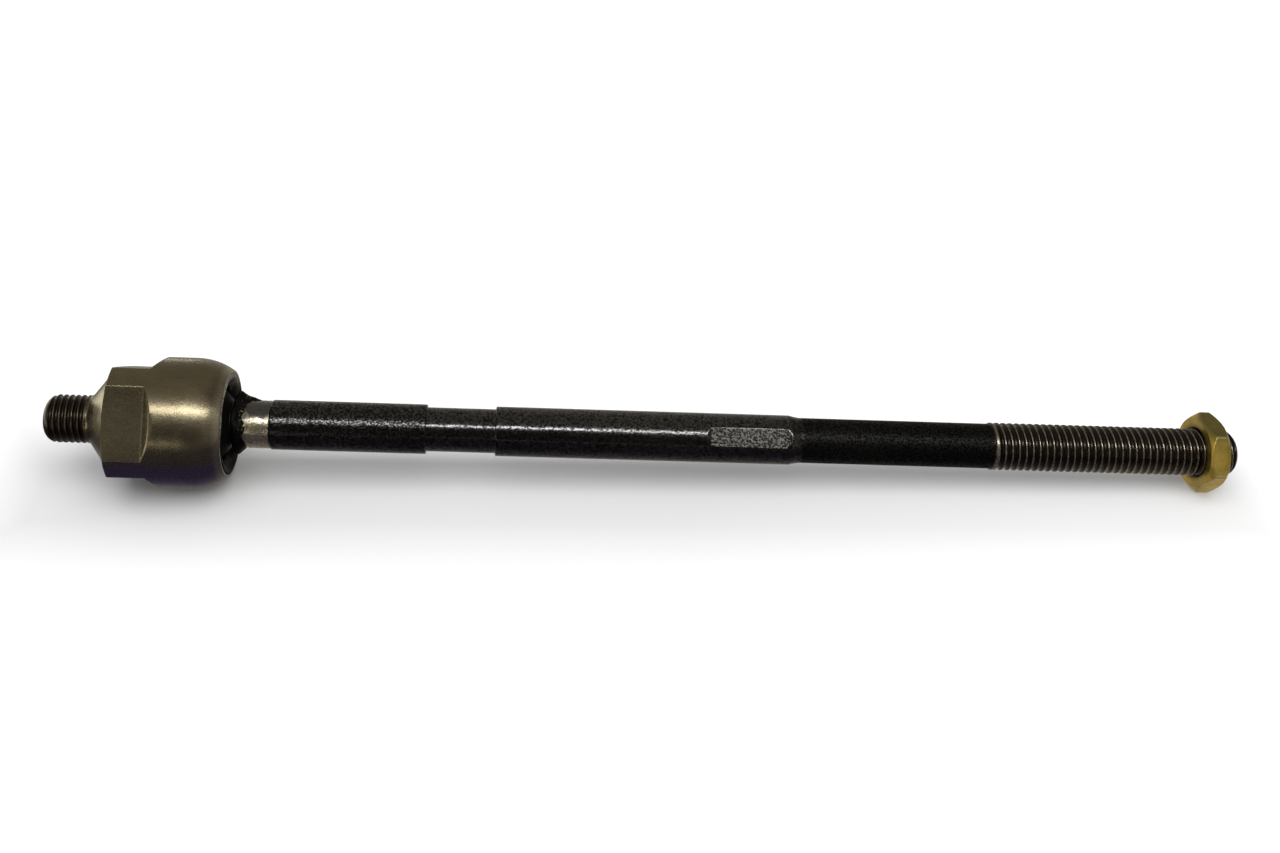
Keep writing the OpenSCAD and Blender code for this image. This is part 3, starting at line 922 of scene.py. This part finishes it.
# For camera rays the table glows: painted light, low round the part and rising away from it, which sets how far
# the soft shadow seems to reach.
in_front = table_finish.span(y, -0.05, -0.0185, 0.3, 0.0)
behind = table_finish.span(y, 0.0, 0.035, 0.0, 0.3)
left_of_part = table_finish.span(x, -0.04, -0.0135, 0.3, 0.0)
right_of_part = table_finish.span(x, 0.29, 0.33, 0.0, 0.3)
lift = table_finish.math("MAXIMUM", in_front, behind)
lift = table_finish.math("MAXIMUM", lift, table_finish.math("MAXIMUM", left_of_part, right_of_part))
lift = table_finish.math("ADD", lift, table_finish.span(far.outputs["Value"], 0.15, 0.8, 0.0, 0.5))
table_finish.feed(glow.inputs["Strength"], table_finish.math("MULTIPLY", rays.outputs["Is Camera Ray"], lift))
both = table_finish.add("ShaderNodeAddShader")
tree.links.new(pick.outputs[0], both.inputs[0])
tree.links.new(glow.outputs[0], both.inputs[1])
tree.links.new(both.outputs[0], tree.nodes["Material Output"].inputs["Surface"])
table_mesh.materials.append(table_finish.material)
print("table leans by", round(math.degrees(slope), 2), "degrees")

# %% [markdown]
# The light of the photograph is soft. One long, narrow lamp above the camera
# draws the line along the rod. A broad one above and behind the part throws
# the soft shadow towards the viewer; it is kept out of reflections, because
# the metal in the photograph shows no second highlight. The room itself is
# dim: reflections see it a little brighter overhead than at eye level.

# %% Lights
def soft_lamp(name, elevation, azimuth, distance, width, height, radiance):
    """A rectangular lamp that faces the middle of the rod from a direction.

    Azimuth 0 is the viewer's side, -Y, and 90 is +X; elevation is above the
    table. Width runs level, height across it. The lamp's power in watts is
    pi times its area times the radiance of its surface.
    """
    e, a = math.radians(elevation), math.radians(azimuth)
    towards = np.array([math.cos(e) * math.sin(a), -math.cos(e) * math.cos(a), math.sin(e)])
    target = np.array([0.14, 0, 0])
    level = np.cross([0, 0, 1], towards)
    level /= np.linalg.norm(level)
    over = np.cross(towards, level)
    data = bpy.data.lights.new(name, "AREA")
    data.shape = "RECTANGLE"
    data.size, data.size_y = width, height
    data.energy = math.pi * width * height * radiance
    lamp = bpy.data.objects.new(name, data)
    bpy.context.scene.collection.objects.link(lamp)
    pose = np.eye(4)
    pose[:3, 0], pose[:3, 1], pose[:3, 2] = level, over, towards
    pose[:3, 3] = target + distance * towards
    lamp.matrix_world = Matrix(pose.tolist())
    return lamp


front_lamp = soft_lamp("front_lamp", 57.5, 0, 1.0, 1.1, 0.15, 19.0)
front_lamp.visible_diffuse = False
overhead = soft_lamp("overhead_lamp", 72, 0, 1.0, 1.5, 0.9, 1.88)
overhead.visible_glossy = False

world = bpy.data.worlds.new("room")
bpy.context.scene.world = world
world.use_nodes = True
wt = world.node_tree
background = wt.nodes["Background"]
paths = wt.nodes.new("ShaderNodeLightPath")
place_in_room = wt.nodes.new("ShaderNodeTexCoord")
facing_ceiling = wt.nodes.new("ShaderNodeVectorMath")
facing_ceiling.operation = "DOT_PRODUCT"
facing_ceiling.inputs[1].default_value = (0.0, math.cos(math.radians(30)), math.sin(math.radians(30)))
wt.links.new(place_in_room.outputs["Generated"], facing_ceiling.inputs[0])
room = wt.nodes.new("ShaderNodeMapRange")
wt.links.new(facing_ceiling.outputs["Value"], room.inputs["Value"])
for key, number in (("From Min", -0.35), ("From Max", 0.25), ("To Min", 0.09), ("To Max", 0.48)):
    room.inputs[key].default_value = number
sideways = wt.nodes.new("ShaderNodeSeparateXYZ")
wt.links.new(place_in_room.outputs["Generated"], sideways.inputs[0])


def room_span(value, low, high, to_low, to_high):
    node = wt.nodes.new("ShaderNodeMapRange")
    wt.links.new(value, node.inputs["Value"])
    for key, number in zip(("From Min", "From Max", "To Min", "To Max"), (low, high, to_low, to_high)):
        node.inputs[key].default_value = number
    return node.outputs["Result"]


def room_math(how, a, b):
    node = wt.nodes.new("ShaderNodeMath")
    node.operation = how
    wt.links.new(a, node.inputs[0])
    wt.links.new(b, node.inputs[1])
    return node.outputs[0]


right_dim = room_span(sideways.outputs["X"], 0.25, 0.45, 1.0, 0.5)
to_front = room_span(sideways.outputs["Y"], -0.3, 0.1, 1.0, 0.0)
left_flank = room_span(sideways.outputs["X"], -0.5, -0.25, 0.42, 0.0)
right_flank = room_span(sideways.outputs["X"], 0.34, 0.48, 0.0, 0.42)
flanks = room_math("MULTIPLY", room_math("MAXIMUM", left_flank, right_flank), to_front)
level = room_math("MAXIMUM", room_math("MULTIPLY", room.outputs["Result"], right_dim), flanks)
for ray, strength in (("Is Diffuse Ray", 0.58), ("Is Camera Ray", 1.0)):
    pick = wt.nodes.new("ShaderNodeMix")
    wt.links.new(paths.outputs[ray], pick.inputs[0])
    wt.links.new(level, pick.inputs[2])
    pick.inputs[3].default_value = strength
    level = pick.outputs[0]
wt.links.new(level, background.inputs["Strength"])
warm = wt.nodes.new("ShaderNodeMix")
warm.data_type = "RGBA"
wt.links.new(paths.outputs["Is Glossy Ray"], warm.inputs[0])
warm.inputs[6].default_value = (1, 1, 1, 1)
warm.inputs[7].default_value = (1, 0.92, 0.79, 1)
wt.links.new(warm.outputs[2], background.inputs["Color"])
bpy.context.scene.view_settings.view_transform = "Standard"
